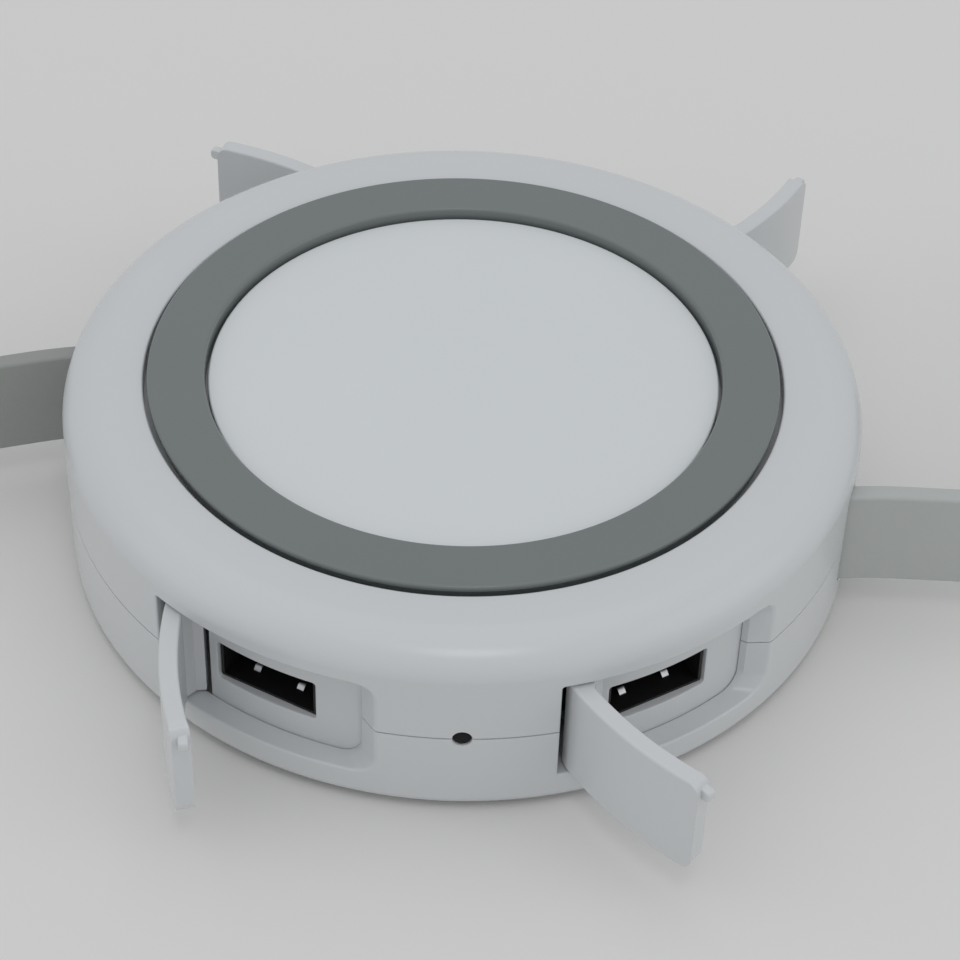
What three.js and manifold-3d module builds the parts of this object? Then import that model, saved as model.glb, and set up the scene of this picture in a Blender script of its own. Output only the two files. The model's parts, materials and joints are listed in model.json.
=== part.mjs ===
// Wireless charging pad with four doored USB ports and a two-way retractable flat cable.
// Millimetres, +Z up. The origin is the centre of the rubber base, on the table.
// The front is -Y, where the indicator light is. Azimuths run from the front towards +X.
import * as THREE from 'three';
import { mergeVertices } from 'three/addons/utils/BufferGeometryUtils.js';
import Module from 'manifold-3d';

const wasm = await Module();
wasm.setup();

const RAD = Math.PI / 180;

// ---- driving dimensions ----
const BODY_R = 50;
const WALL_INNER_R = 47.2;
const TOP_Z = 25.7;
const PARTING_Z = 12.5;
const PARTING_GAP = 0.15;
const SHOULDER_Z = 21.4;
const SHOULDER_R = 44.1;
const BODY_SEGMENTS = 64;
const GAP = 0.3;

const BASE_Z = 0.8;
const FLOOR_LOW_Z = 1.9;
const FLOOR_TOP_Z = 3.4;
const BASE_ROUND_R = 48.4;
const BASE_ROUND_Z = 2.4;
const PAD_R = 42;

const WELL_R = 39.85;
const SHELF_TOP_Z = 23.3;
const SHELF_LOW_Z = 22.3;
const SHELF_INNER_R = 29;

const RING_OUTER_R = 39.05;
const RING_INNER_R = 32.25;
const RING_TOP_Z = 26.45;
const RING_LOW_Z = SHELF_TOP_Z + GAP;
const RING_BEVEL = 0.45;
const DISC_R = 31.85;
const DISC_TOP_Z = 25.15;

// ports: one every entry, all alike, each turned about Z by its azimuth
const RECESS_LOW_Z = 5.2;
const RECESS_HIGH_Z = 19.9;
const RECESS_HINGE_X = -13.75;
const RECESS_END_X = 11.4;
const RECESS_RAMP = 1.3;
const RECESS_CORNER = 2.5;
const RECESS_BEHIND = 1.6;
const RECESS_FLOOR_R = 46.9;
const BEZEL_BACK_R = 45;
const BEZEL_HINGE_X = -7.9;
const BEZEL_END_X = 14.2;
const PORT_Z = 11.95;
const MOUTH_W = 13.4;
const MOUTH_H = 5.8;
const MOUTH_CORNER = 0.4;

// doors
const DOOR_LOW_Z = RECESS_LOW_Z + GAP;
const DOOR_HIGH_Z = RECESS_HIGH_Z - GAP;
const DOOR_INNER_R = 47.75;
const DOOR_END_X = 9.2;
const DOOR_CORNER = 1.8;
const KNUCKLE_R = 1.4;
const PIVOT_X = -11.5;
const PIVOT_R = 48.5;
const PIVOT_Y = -Math.sqrt(PIVOT_R ** 2 - PIVOT_X ** 2);
const PIN_R = 0.75;
const PIN_HOLE_R = 0.8;
const PIN_INSET = 1.3;
const HEEL_REACH = 2.9;
const HEEL_THICKNESS = 1.3;
const TAB_REACH = 0.9;
const TAB_DROP = 0.9;
const TAB_HEIGHT = 1.5;
const TAB_CORNER = 0.5;

const PORTS = [
  { name: 'front_left', azimuth: -29.5, open: 53 },
  { name: 'front_right', azimuth: 29.5, open: 76.5 },
  { name: 'rear_right', azimuth: 149.5, open: 97.5 },
  { name: 'rear_left', azimuth: 213.5, open: 60.5 },
];

// USB receptacles
const SOCKET_W = 13.1;
const SOCKET_H = 5.7;
const SOCKET_WALL = 0.35;
const SOCKET_FRONT_Y = -46.1;
const SOCKET_BACK_Y = -30.4;
const TONGUE_W = 11;
const TONGUE_FRONT_Y = -42.3;

// reel and its flat cable
const TANGENT_R = 17.4;
const CABLE_WIDTH = 13.6;
const CABLE_THICKNESS = 2.4;
const CABLE_Z = 12.7;
const CABLE_LAYER = 2.68;
const WINDING_INNER_R = 11.5;
const FLANGE_R = 21.5;
const FLANGE_LOW_Z = 5.2;
const FLANGE_HIGH_Z = 5.8;
const TOP_FLANGE_LOW_Z = 19.6;
const TOP_FLANGE_HIGH_Z = 20;
const DRUM_OUTER_R = 10.2;
const DRUM_INNER_R = 8.9;
const POST_R = 2;
const BEARING_GAP = 0.08;
const CABLE_INSIDE = 26;
const SLOT_W = 3.3;
const SLOT_LOW_Z = 5.5;
const SLOT_HIGH_Z = 19.9;
const GUIDE_INSET = 4;
const NOTCH_AZIMUTH = -45;
const NOTCH_R = 2.2;
const PAWL_PIVOT_R = 27;
const PAWL_PIVOT_AZIMUTH = -58.85;
const PAWL_LIFT = 12;
const PAWL_PIN_R = 0.8;

// circuit boards
const BOARD_LOW_Z = 7.4;
const BOARD_HIGH_Z = 8.8;
const BOARD_R = 43.6;
const BOARD_EDGE_Y = 23;
const BOARD_HALF_W = 29;
const BOARD_POST_X = 25;
const BOARD_POST_Y = 27;
const BOARD_POST_R = 1.5;
const CHIP_HEIGHT = 1;
const INDUCTOR_R = 3;
const INDUCTOR_HEIGHT = 3.3;

// screws that hold the two shells together
const SCREW_AZIMUTHS = [-72, -123, 57, 108];
const SCREW_CIRCLE_R = 39;
const SCREW_R = 0.9;
const SCREW_HEAD_R = 2.1;
const SCREW_HEAD_LOW_Z = 3.2;
const SCREW_HEAD_HIGH_Z = 4.7;
const SCREW_END_Z = 19.5;
const TOP_BOSS_R = 2.6;
const BASE_BOSS_R = 3.1;

// charging coil on its tray
const TRAY_LOW_Z = 20.2;
const TRAY_FLOOR_Z = 20.7;
const TRAY_STEP_Z = 21.4;
const TRAY_TOP_Z = 22;
const TRAY_INNER_R = 25.9;
const TRAY_STEP_R = 27.2;
const TRAY_RIM_R = 31;
const FERRITE_R = 25.5;
const FERRITE_LOW_Z = 21;
const COIL_INNER_R = 10;
const COIL_OUTER_R = 24.4;
const COIL_TURNS = 6;
const COIL_Z = 22.4;
const COIL_STRIP_HEIGHT = 1.4;
const COIL_STRIP_W = 1.8;

// indicator light
const LIGHT_HOLE_R = 1.15;
const LENS_R = 0.8;
const LENS_LENGTH = 5;

// ---- materials ----
const material = (color, roughness, metalness = 0) =>
  new THREE.MeshStandardMaterial({ color, roughness, metalness });

const finishes = {
  white: () => material(0xd9dcdc, 0.28),
  softWhite: () => material(0xe2e5e4, 0.35),
  greyRubber: () => material(0x737978, 0.7),
  darkPlastic: () => material(0x1d1f20, 0.45),
  cable: () => material(0x8b8f8c, 0.65),
  steel: () => material(0xb9bcc0, 0.3, 1),
  springSteel: () => material(0x8f949a, 0.35, 1),
  copper: () => material(0xb87545, 0.4, 1),
  brass: () => material(0xc9a85a, 0.35, 1),
  ferrite: () => material(0x2e2c2b, 0.8),
  board: () => material(0x1f5a3a, 0.55),
  chip: () => material(0x17181a, 0.5),
  nylon: () => material(0xcfcabd, 0.5),
  lens: () => material(0x101214, 0.15),
};

// ---- solid helpers ----
function toSolid(geometry) {
  const bare = geometry.index ? geometry.toNonIndexed() : geometry.clone();
  bare.deleteAttribute('normal');
  bare.deleteAttribute('uv');
  const merged = mergeVertices(bare, 1e-4);
  const mesh = new wasm.Mesh({
    numProp: 3,
    vertProperties: new Float32Array(merged.attributes.position.array),
    triVerts: new Uint32Array(merged.index.array),
  });
  return new wasm.Manifold(mesh);
}

function toGeometry(solid) {
  const mesh = solid.getMesh();
  const geometry = new THREE.BufferGeometry();
  geometry.setAttribute('position', new THREE.BufferAttribute(mesh.vertProperties, 3));
  geometry.setIndex(new THREE.BufferAttribute(mesh.triVerts, 1));
  geometry.computeVertexNormals();
  return geometry;
}

// A closed outline of [radius, z] points turned about Z. Points run outwards first, then up.
function turned(points, segments = BODY_SEGMENTS) {
  const outline = points.map(([r, z]) => new THREE.Vector2(r, z));
  if (points[0][0] > 0) {
    outline.push(outline[0].clone());
  }
  return new THREE.LatheGeometry(outline, segments).rotateX(Math.PI / 2);
}

// A tube or washer about Z.
function washer(innerR, outerR, lowZ, highZ, segments = 48) {
  return turned([[innerR, lowZ], [outerR, lowZ], [outerR, highZ], [innerR, highZ]], segments);
}

// A plain rod about Z.
function rod(radius, lowZ, highZ, segments = 24) {
  return new THREE.CylinderGeometry(radius, radius, highZ - lowZ, segments)
    .rotateX(Math.PI / 2)
    .translate(0, 0, (lowZ + highZ) / 2);
}

function block(lowX, highX, lowY, highY, lowZ, highZ) {
  return new THREE.BoxGeometry(highX - lowX, highY - lowY, highZ - lowZ)
    .translate((lowX + highX) / 2, (lowY + highY) / 2, (lowZ + highZ) / 2);
}

// A flat outline in X and Y, raised from lowZ to highZ.
function raised(shape, lowZ, highZ, curveSegments = 12) {
  const depth = highZ - lowZ;
  return new THREE.ExtrudeGeometry(shape, { depth, bevelEnabled: false, curveSegments })
    .translate(0, 0, lowZ);
}

// An outline in X and Z, pushed along Y from frontY to backY.
function pushed(shape, frontY, backY, curveSegments = 6) {
  const depth = backY - frontY;
  return new THREE.ExtrudeGeometry(shape, { depth, bevelEnabled: false, curveSegments })
    .rotateX(Math.PI / 2)
    .translate(0, backY, 0);
}

function roundedRect(lowX, highX, lowY, highY, leftRadius, rightRadius) {
  const shape = new THREE.Shape();
  shape.moveTo(lowX + leftRadius, lowY);
  shape.lineTo(highX - rightRadius, lowY);
  shape.absarc(highX - rightRadius, lowY + rightRadius, rightRadius, -Math.PI / 2, 0);
  shape.lineTo(highX, highY - rightRadius);
  shape.absarc(highX - rightRadius, highY - rightRadius, rightRadius, 0, Math.PI / 2);
  shape.lineTo(lowX + leftRadius, highY);
  if (leftRadius > 0) {
    shape.absarc(lowX + leftRadius, highY - leftRadius, leftRadius, Math.PI / 2, Math.PI);
    shape.absarc(lowX + leftRadius, lowY + leftRadius, leftRadius, Math.PI, Math.PI * 1.5);
  }
  return shape;
}

function arcPoints(centreR, centreZ, radiusR, radiusZ, fromDeg, toDeg, steps) {
  const points = [];
  for (let i = 0; i <= steps; i += 1) {
    const angle = (fromDeg + ((toDeg - fromDeg) * i) / steps) * RAD;
    points.push([centreR + radiusR * Math.cos(angle), centreZ + radiusZ * Math.sin(angle)]);
  }
  return points;
}

const onCircle = (radius, azimuth) =>
  [radius * Math.sin(azimuth * RAD), -radius * Math.cos(azimuth * RAD)];

const part = new THREE.Group();

function add(name, geometry, finish, parent = part) {
  const mesh = new THREE.Mesh(geometry, finish());
  mesh.name = name;
  parent.add(mesh);
  return mesh;
}

// ---- cable route ----
// Each cable leaves the reel on a tangent, passes its slot, and bends a little outside it.
const CABLES = [
  { name: 'left', slotAzimuth: -101.3, bend: 6, turn: -1 },
  { name: 'right', slotAzimuth: 72.7, bend: -6, turn: 1 },
].map((cable) => {
  const [x, y] = onCircle(BODY_R, cable.slotAzimuth);
  const heading = Math.atan2(y, x) + Math.asin(TANGENT_R / BODY_R);
  return { ...cable, slot: new THREE.Vector2(x, y), heading };
});

const SEEN_LENGTH = 15;
const BEND_LENGTH = 6;
const TURN_RADIUS = 30;
const TURN_ANGLE = 88;
const TAIL_LENGTH = 22;
const TABLE_CABLE_Z = CABLE_WIDTH / 2 + 0.25;
const ROUTE_STEP = 2.5;

// Walks the centre line: straight, slight bend, straight, wide turn, straight tail.
function routePoints(cable) {
  const sections = [
    { length: CABLE_INSIDE + 1, angle: 0 },
    { length: BEND_LENGTH, angle: cable.bend * RAD },
    { length: SEEN_LENGTH - BEND_LENGTH, angle: 0 },
    { length: TURN_RADIUS * TURN_ANGLE * RAD, angle: cable.turn * TURN_ANGLE * RAD },
    { length: TAIL_LENGTH, angle: 0 },
  ];
  const points = [];
  let heading = cable.heading;
  let x = cable.slot.x - CABLE_INSIDE * Math.cos(heading);
  let y = cable.slot.y - CABLE_INSIDE * Math.sin(heading);
  let travelled = 0;
  const total = sections.reduce((sum, section) => sum + section.length, 0);
  const dropFrom = CABLE_INSIDE + SEEN_LENGTH;
  const height = (s) => {
    const f = THREE.MathUtils.smoothstep(s, dropFrom, total - TAIL_LENGTH / 2);
    return THREE.MathUtils.lerp(CABLE_Z, TABLE_CABLE_Z, f);
  };
  points.push(new THREE.Vector3(x, y, height(0)));
  for (const section of sections) {
    const steps = Math.ceil(section.length / ROUTE_STEP);
    for (let i = 0; i < steps; i += 1) {
      const step = section.length / steps;
      heading += section.angle / steps / 2;
      x += step * Math.cos(heading);
      y += step * Math.sin(heading);
      heading += section.angle / steps / 2;
      travelled += step;
      points.push(new THREE.Vector3(x, y, height(travelled)));
    }
  }
  return { points, heading };
}

// A flat band that stands on edge along a list of points.
function band(points, thickness, width) {
  const flat = new THREE.Shape();
  flat.moveTo(-width / 2, -thickness / 2);
  flat.lineTo(width / 2, -thickness / 2);
  flat.lineTo(width / 2, thickness / 2);
  flat.lineTo(-width / 2, thickness / 2);
  const steps = points.length - 1;
  const geometry = new THREE.ExtrudeGeometry(flat, { depth: steps, steps, bevelEnabled: false });
  const position = geometry.attributes.position;
  for (let i = 0; i < position.count; i += 1) {
    const at = Math.round(position.getZ(i));
    const before = points[Math.max(at - 1, 0)];
    const after = points[Math.min(at + 1, steps)];
    const along = Math.atan2(after.y - before.y, after.x - before.x);
    const across = position.getY(i);
    position.setXYZ(
      i,
      points[at].x + Math.sin(along) * across,
      points[at].y - Math.cos(along) * across,
      points[at].z + position.getX(i),
    );
  }
  return geometry;
}

// ---- shells ----
// The window that each port opens in the side wall. Its far end slopes outwards.
function recessCutter() {
  const outline = roundedRect(
    RECESS_HINGE_X, RECESS_END_X, RECESS_LOW_Z, RECESS_HIGH_Z, 0, RECESS_CORNER);
  const innerY = -RECESS_FLOOR_R + RECESS_BEHIND;
  const outerY = -BODY_R - 2;
  const geometry = pushed(outline, outerY, innerY, 4);
  const position = geometry.attributes.position;
  for (let i = 0; i < position.count; i += 1) {
    if (position.getX(i) > 0 && position.getY(i) < innerY - 1) {
      position.setX(i, position.getX(i) + (innerY - outerY) * RECESS_RAMP);
    }
  }
  return toSolid(geometry);
}

function slotCutter(cable) {
  const box = block(-10, 8, -SLOT_W / 2, SLOT_W / 2, SLOT_LOW_Z, SLOT_HIGH_Z);
  box.rotateZ(cable.heading);
  box.translate(cable.slot.x, cable.slot.y, 0);
  return toSolid(box);
}

function lightHole() {
  const hole = new THREE.CylinderGeometry(LIGHT_HOLE_R, LIGHT_HOLE_R, 8, 20).translate(0, -BODY_R + 2, 0);
  hole.translate(0, 0, PARTING_Z);
  return toSolid(hole);
}

function cutSides(shell) {
  let cut = shell;
  for (const port of PORTS) {
    cut = cut.subtract(recessCutter().rotate([0, 0, port.azimuth]));
    const pinHole = rod(PIN_HOLE_R, RECESS_LOW_Z - PIN_INSET - GAP, RECESS_HIGH_Z + PIN_INSET + GAP, 12)
      .translate(PIVOT_X, PIVOT_Y, 0);
    cut = cut.subtract(toSolid(pinHole).rotate([0, 0, port.azimuth]));
  }
  for (const cable of CABLES) {
    cut = cut.subtract(slotCutter(cable));
  }
  return cut.subtract(lightHole());
}

function topShell() {
  const lowZ = PARTING_Z + PARTING_GAP / 2;
  let shell = toSolid(turned([
    [WALL_INNER_R, lowZ],
    [BODY_R, lowZ],
    ...arcPoints(SHOULDER_R, SHOULDER_Z, BODY_R - SHOULDER_R, TOP_Z - SHOULDER_Z, 0, 90, 8),
    [WELL_R, TOP_Z],
    [WELL_R, SHELF_TOP_Z],
    [SHELF_INNER_R, SHELF_TOP_Z],
    [SHELF_INNER_R, SHELF_LOW_Z],
    [45, SHELF_LOW_Z],
    [WALL_INNER_R, SHELF_LOW_Z - 0.8],
  ]));
  for (const azimuth of SCREW_AZIMUTHS) {
    const [x, y] = onCircle(SCREW_CIRCLE_R, azimuth);
    shell = shell.add(toSolid(rod(TOP_BOSS_R, lowZ, SHELF_LOW_Z + 0.5, 16).translate(x, y, 0)));
    shell = shell.subtract(toSolid(rod(SCREW_R + GAP, lowZ - 1, 20, 12).translate(x, y, 0)));
  }
  return toGeometry(cutSides(shell));
}

function bottomShell() {
  const highZ = PARTING_Z - PARTING_GAP / 2;
  let shell = toSolid(turned([
    [0, FLOOR_LOW_Z],
    [PAD_R + GAP, FLOOR_LOW_Z],
    [PAD_R + GAP, BASE_Z],
    ...arcPoints(BASE_ROUND_R, BASE_ROUND_Z, BODY_R - BASE_ROUND_R, BASE_ROUND_Z - BASE_Z, -90, 0, 6),
    [BODY_R, highZ],
    [WALL_INNER_R, highZ],
    [WALL_INNER_R, FLOOR_TOP_Z + 1.2],
    [46, FLOOR_TOP_Z],
    [0, FLOOR_TOP_Z],
  ]));
  for (const azimuth of SCREW_AZIMUTHS) {
    const [x, y] = onCircle(SCREW_CIRCLE_R, azimuth);
    shell = shell.add(toSolid(rod(BASE_BOSS_R, FLOOR_LOW_Z, highZ - GAP, 16).translate(x, y, 0)));
    shell = shell.subtract(toSolid(rod(SCREW_R + GAP, 0, highZ + 1, 12).translate(x, y, 0)));
    const headHole = rod(SCREW_HEAD_R + GAP, 0, SCREW_HEAD_HIGH_Z + GAP, 16);
    shell = shell.subtract(toSolid(headHole.translate(x, y, 0)));
  }
  for (const side of [-1, 1]) {
    for (const x of [-BOARD_POST_X, BOARD_POST_X]) {
      const post = rod(BOARD_POST_R, FLOOR_LOW_Z + 0.5, BOARD_LOW_Z - GAP, 12)
        .translate(x, side * BOARD_POST_Y, 0);
      shell = shell.add(toSolid(post));
    }
  }
  return toGeometry(cutSides(shell));
}

add('top_shell', topShell(), finishes.white);
add('bottom_shell', bottomShell(), finishes.white);
add('base_pad', rod(PAD_R, 0, FLOOR_LOW_Z - GAP, BODY_SEGMENTS), finishes.darkPlastic);

const gripRing = turned([
  [RING_INNER_R, RING_LOW_Z],
  [RING_OUTER_R, RING_LOW_Z],
  [RING_OUTER_R, RING_TOP_Z - RING_BEVEL],
  [RING_OUTER_R - RING_BEVEL, RING_TOP_Z],
  [RING_INNER_R + RING_BEVEL, RING_TOP_Z],
  [RING_INNER_R, RING_TOP_Z - RING_BEVEL],
]);
add('grip_ring', gripRing, finishes.greyRubber);

const centreDisc = turned([
  [0, RING_LOW_Z],
  [27.6, RING_LOW_Z],
  [27.6, RING_LOW_Z - 1],
  [28.6, RING_LOW_Z - 1],
  [28.6, RING_LOW_Z],
  [DISC_R, RING_LOW_Z],
  [DISC_R, DISC_TOP_Z - 0.2],
  [DISC_R - 0.2, DISC_TOP_Z],
  [0, DISC_TOP_Z],
]);
add('centre_disc', centreDisc, finishes.softWhite);

// ---- shell screws ----
SCREW_AZIMUTHS.forEach((azimuth, index) => {
  const [x, y] = onCircle(SCREW_CIRCLE_R, azimuth);
  const screw = turned([
    [0, SCREW_HEAD_LOW_Z],
    [SCREW_HEAD_R, SCREW_HEAD_LOW_Z],
    [SCREW_HEAD_R, SCREW_HEAD_HIGH_Z],
    [SCREW_R, SCREW_HEAD_HIGH_Z],
    [SCREW_R, SCREW_END_Z - 0.5],
    [0, SCREW_END_Z],
  ], 12);
  add(`shell_screw_${index + 1}`, screw.translate(x, y, 0), finishes.steel);
});

// ---- ports ----
// The curved plate behind each recess, with the mouth of its socket.
function portBezel() {
  const highZ = RECESS_HIGH_Z + 0.5;
  const lowZ = RECESS_LOW_Z - 0.7;
  const ring = toSolid(washer(BEZEL_BACK_R, RECESS_FLOOR_R, lowZ, highZ, 96));
  const slice = toSolid(block(BEZEL_HINGE_X, BEZEL_END_X, -BODY_R, -20, 0, 30));
  const mouth = roundedRect(
    -MOUTH_W / 2, MOUTH_W / 2, PORT_Z - MOUTH_H / 2, PORT_Z + MOUTH_H / 2,
    MOUTH_CORNER, MOUTH_CORNER);
  return toGeometry(ring.intersect(slice).subtract(toSolid(pushed(mouth, -BODY_R, -40))));
}

// The folded steel sleeve of a USB-A socket, open at the front and closed behind.
function socketSleeve() {
  const low = PORT_Z - SOCKET_H / 2;
  const high = PORT_Z + SOCKET_H / 2;
  const outside = block(-SOCKET_W / 2, SOCKET_W / 2, SOCKET_FRONT_Y, SOCKET_BACK_Y, low, high);
  const inside = block(
    -SOCKET_W / 2 + SOCKET_WALL, SOCKET_W / 2 - SOCKET_WALL,
    SOCKET_FRONT_Y - 1, SOCKET_BACK_Y - SOCKET_WALL,
    low + SOCKET_WALL, high - SOCKET_WALL);
  return toGeometry(toSolid(outside).subtract(toSolid(inside)));
}

// The insulator with the contact tongue in the upper half of the socket.
function socketTongue() {
  const back = SOCKET_BACK_Y - SOCKET_WALL - GAP;
  const low = PORT_Z - SOCKET_H / 2 + SOCKET_WALL + GAP;
  const high = PORT_Z + SOCKET_H / 2 - SOCKET_WALL - GAP;
  const tongue = block(-TONGUE_W / 2, TONGUE_W / 2, TONGUE_FRONT_Y, back, PORT_Z, high - GAP);
  const root = block(-TONGUE_W / 2, TONGUE_W / 2, back - 2.5, back, low, high);
  return toGeometry(toSolid(tongue).add(toSolid(root)));
}

// The door seen from above, closed, with the pivot at the origin.
function doorPlan() {
  const steps = 10;
  const from = Math.asin(PIVOT_X / PIVOT_R);
  const outerTo = Math.asin(DOOR_END_X / BODY_R);
  const innerFrom = from + 0.02;
  const shape = new THREE.Shape();
  const along = (radius, angle) =>
    [radius * Math.sin(angle) - PIVOT_X, -radius * Math.cos(angle) - PIVOT_Y];
  const inward = [-Math.sin(from), Math.cos(from)];
  const sideways = [Math.cos(from), Math.sin(from)];
  const heelPoint = (reach, side) =>
    [inward[0] * reach + sideways[0] * side, inward[1] * reach + sideways[1] * side];
  const heelOuter = heelPoint(HEEL_REACH, -HEEL_THICKNESS / 2);
  shape.moveTo(...heelOuter);
  const knuckleFrom = from + Math.PI;
  const knuckleSteps = 9;
  for (let i = 0; i <= knuckleSteps; i += 1) {
    const angle = knuckleFrom + (i / knuckleSteps) * (Math.PI / 2);
    shape.lineTo(KNUCKLE_R * Math.cos(angle), KNUCKLE_R * Math.sin(angle));
  }
  for (let i = 1; i <= steps; i += 1) {
    shape.lineTo(...along(BODY_R, from + ((outerTo - from) * i) / steps));
  }
  for (let i = steps; i >= 0; i -= 1) {
    shape.lineTo(...along(DOOR_INNER_R, innerFrom + ((outerTo - innerFrom) * i) / steps));
  }
  shape.lineTo(...heelPoint(KNUCKLE_R, HEEL_THICKNESS / 2 + 0.5));
  shape.lineTo(...heelPoint(HEEL_REACH, HEEL_THICKNESS / 2));
  shape.closePath();
  return shape;
}

function portDoor() {
  const body = toSolid(raised(doorPlan(), DOOR_LOW_Z, DOOR_HIGH_Z));
  const endX = DOOR_END_X - PIVOT_X;
  const face = roundedRect(-5, endX, DOOR_LOW_Z, DOOR_HIGH_Z, 0, DOOR_CORNER);
  const bore = toSolid(rod(PIN_HOLE_R, 0, 30, 16));
  const tabHighZ = DOOR_HIGH_Z - TAB_DROP;
  const tabShape = roundedRect(
    endX - 2, endX + TAB_REACH, tabHighZ - TAB_HEIGHT, tabHighZ, 0, TAB_CORNER);
  const tabY = -DOOR_INNER_R * Math.cos(Math.asin(DOOR_END_X / BODY_R)) - PIVOT_Y;
  const tab = toSolid(pushed(tabShape, tabY - 1.5, tabY - 0.3, 5));
  const trimmed = body.intersect(toSolid(pushed(face, -10, 8, 6)));
  return toGeometry(trimmed.add(tab).subtract(bore));
}

for (const port of PORTS) {
  const frame = new THREE.Group();
  frame.rotation.z = port.azimuth * RAD;
  part.add(frame);
  add(`port_bezel_${port.name}`, portBezel(), finishes.white, frame);
  add(`usb_sleeve_${port.name}`, socketSleeve(), finishes.darkPlastic, frame);
  add(`usb_tongue_${port.name}`, socketTongue(), finishes.darkPlastic, frame);

  const pin = rod(PIN_R, RECESS_LOW_Z - PIN_INSET, RECESS_HIGH_Z + PIN_INSET, 12);
  add(`hinge_pin_${port.name}`, pin.translate(PIVOT_X, PIVOT_Y, 0), finishes.steel, frame);

  const door = add(`door_${port.name}`, portDoor(), finishes.white, frame);
  door.position.set(PIVOT_X, PIVOT_Y, 0);
  door.rotation.z = -port.open * RAD;
}

// ---- indicator light ----
const lens = new THREE.CylinderGeometry(LENS_R, LENS_R, LENS_LENGTH, 20).translate(0, -BODY_R + 3.5, 0);
add('indicator_lens', lens.translate(0, 0, PARTING_Z), finishes.lens);

// ---- charging coil stack ----
const trayProfile = [
  [0, TRAY_LOW_Z], [TRAY_STEP_R, TRAY_LOW_Z], [TRAY_STEP_R, TRAY_STEP_Z],
  [TRAY_RIM_R, TRAY_STEP_Z], [TRAY_RIM_R, TRAY_TOP_Z],
  [TRAY_INNER_R, TRAY_TOP_Z], [TRAY_INNER_R, TRAY_FLOOR_Z], [0, TRAY_FLOOR_Z],
];
add('coil_tray', turned(trayProfile, 40), finishes.nylon);
add('ferrite_sheet', rod(FERRITE_R, FERRITE_LOW_Z, TRAY_STEP_Z, 40), finishes.ferrite);

// A flat spiral band between two radii. Turns are counted from the inside out.
function spiralPoints(innerR, outerR, startAngle, turns, z, stepsPerTurn) {
  const steps = Math.round(turns * stepsPerTurn);
  const points = [];
  for (let i = 0; i <= steps; i += 1) {
    const f = i / steps;
    const radius = innerR + (outerR - innerR) * f;
    const angle = startAngle + turns * f * Math.PI * 2;
    points.push(new THREE.Vector3(radius * Math.cos(angle), radius * Math.sin(angle), z));
  }
  return points;
}

const coilPath = spiralPoints(COIL_INNER_R, COIL_OUTER_R, 0, COIL_TURNS, COIL_Z, 16);
add('transmitter_coil', band(coilPath, COIL_STRIP_W, COIL_STRIP_HEIGHT), finishes.copper);

// ---- circuit boards ----
function boardShape() {
  const shape = new THREE.Shape();
  const arc = Math.asin(BOARD_HALF_W / BOARD_R);
  shape.moveTo(-BOARD_HALF_W, -BOARD_EDGE_Y);
  shape.lineTo(-BOARD_HALF_W, -BOARD_R * Math.cos(arc));
  shape.absarc(0, 0, BOARD_R, -Math.PI / 2 - arc, -Math.PI / 2 + arc);
  shape.lineTo(BOARD_HALF_W, -BOARD_EDGE_Y);
  return shape;
}

const boards = { front: 0, rear: Math.PI };
for (const [name, angle] of Object.entries(boards)) {
  const board = raised(boardShape(), BOARD_LOW_Z, BOARD_HIGH_Z, 16);
  add(`${name}_board`, board.rotateZ(angle), finishes.board);
}
add('board_link', block(14.5, 19.5, -26, 26, 3.7, 4.1), finishes.cable);
const CHIP_LOW_Z = BOARD_HIGH_Z + GAP;
const CHIP_HIGH_Z = CHIP_LOW_Z + CHIP_HEIGHT;
add('charger_chip', block(-3.5, 3.5, -39.5, -32.5, CHIP_LOW_Z, CHIP_HIGH_Z), finishes.chip);
const inductor = rod(INDUCTOR_R, CHIP_LOW_Z, CHIP_LOW_Z + INDUCTOR_HEIGHT, 20);
add('power_inductor', inductor.translate(0, -27.5, 0), finishes.ferrite);
add('hub_chip', block(-4, 4, 31, 39, CHIP_LOW_Z, CHIP_HIGH_Z), finishes.chip);

// ---- reel ----
const drum = toSolid(turned([
  [POST_R + BEARING_GAP, FLANGE_LOW_Z],
  [FLANGE_R, FLANGE_LOW_Z],
  [FLANGE_R, FLANGE_HIGH_Z],
  [DRUM_OUTER_R, FLANGE_HIGH_Z],
  [DRUM_OUTER_R, TOP_FLANGE_LOW_Z - GAP],
  [DRUM_INNER_R, TOP_FLANGE_LOW_Z - GAP],
  [DRUM_INNER_R, FLANGE_HIGH_Z],
  [POST_R + BEARING_GAP, FLANGE_HIGH_Z],
], 40));
let notched = drum;
for (const azimuth of [NOTCH_AZIMUTH, NOTCH_AZIMUTH + 180]) {
  const [x, y] = onCircle(FLANGE_R, azimuth);
  notched = notched.subtract(toSolid(rod(NOTCH_R, 0, 9, 16).translate(x, y, 0)));
}
add('reel_drum', toGeometry(notched), finishes.nylon);
add('reel_top_flange', washer(3.5, FLANGE_R, TOP_FLANGE_LOW_Z, TOP_FLANGE_HIGH_Z, 40), finishes.nylon);
add('slip_ring_disc', washer(5, 14, 4.5, 4.9, 32), finishes.brass);
add('brush_block', block(6, 13, -4, 4, 3.7, 4.2), finishes.darkPlastic);

const post = turned([
  [0, 3.7], [4, 3.7], [4, 4.2], [POST_R, 4.2], [POST_R, 19.9], [0, 19.9],
], 24);
add('axle_post', post, finishes.steel);

const springPath = spiralPoints(2.9, 8.2, 0, 4, CABLE_Z, 16);
add('reel_spring', band(springPath, 0.25, 12), finishes.springSteel);

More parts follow.
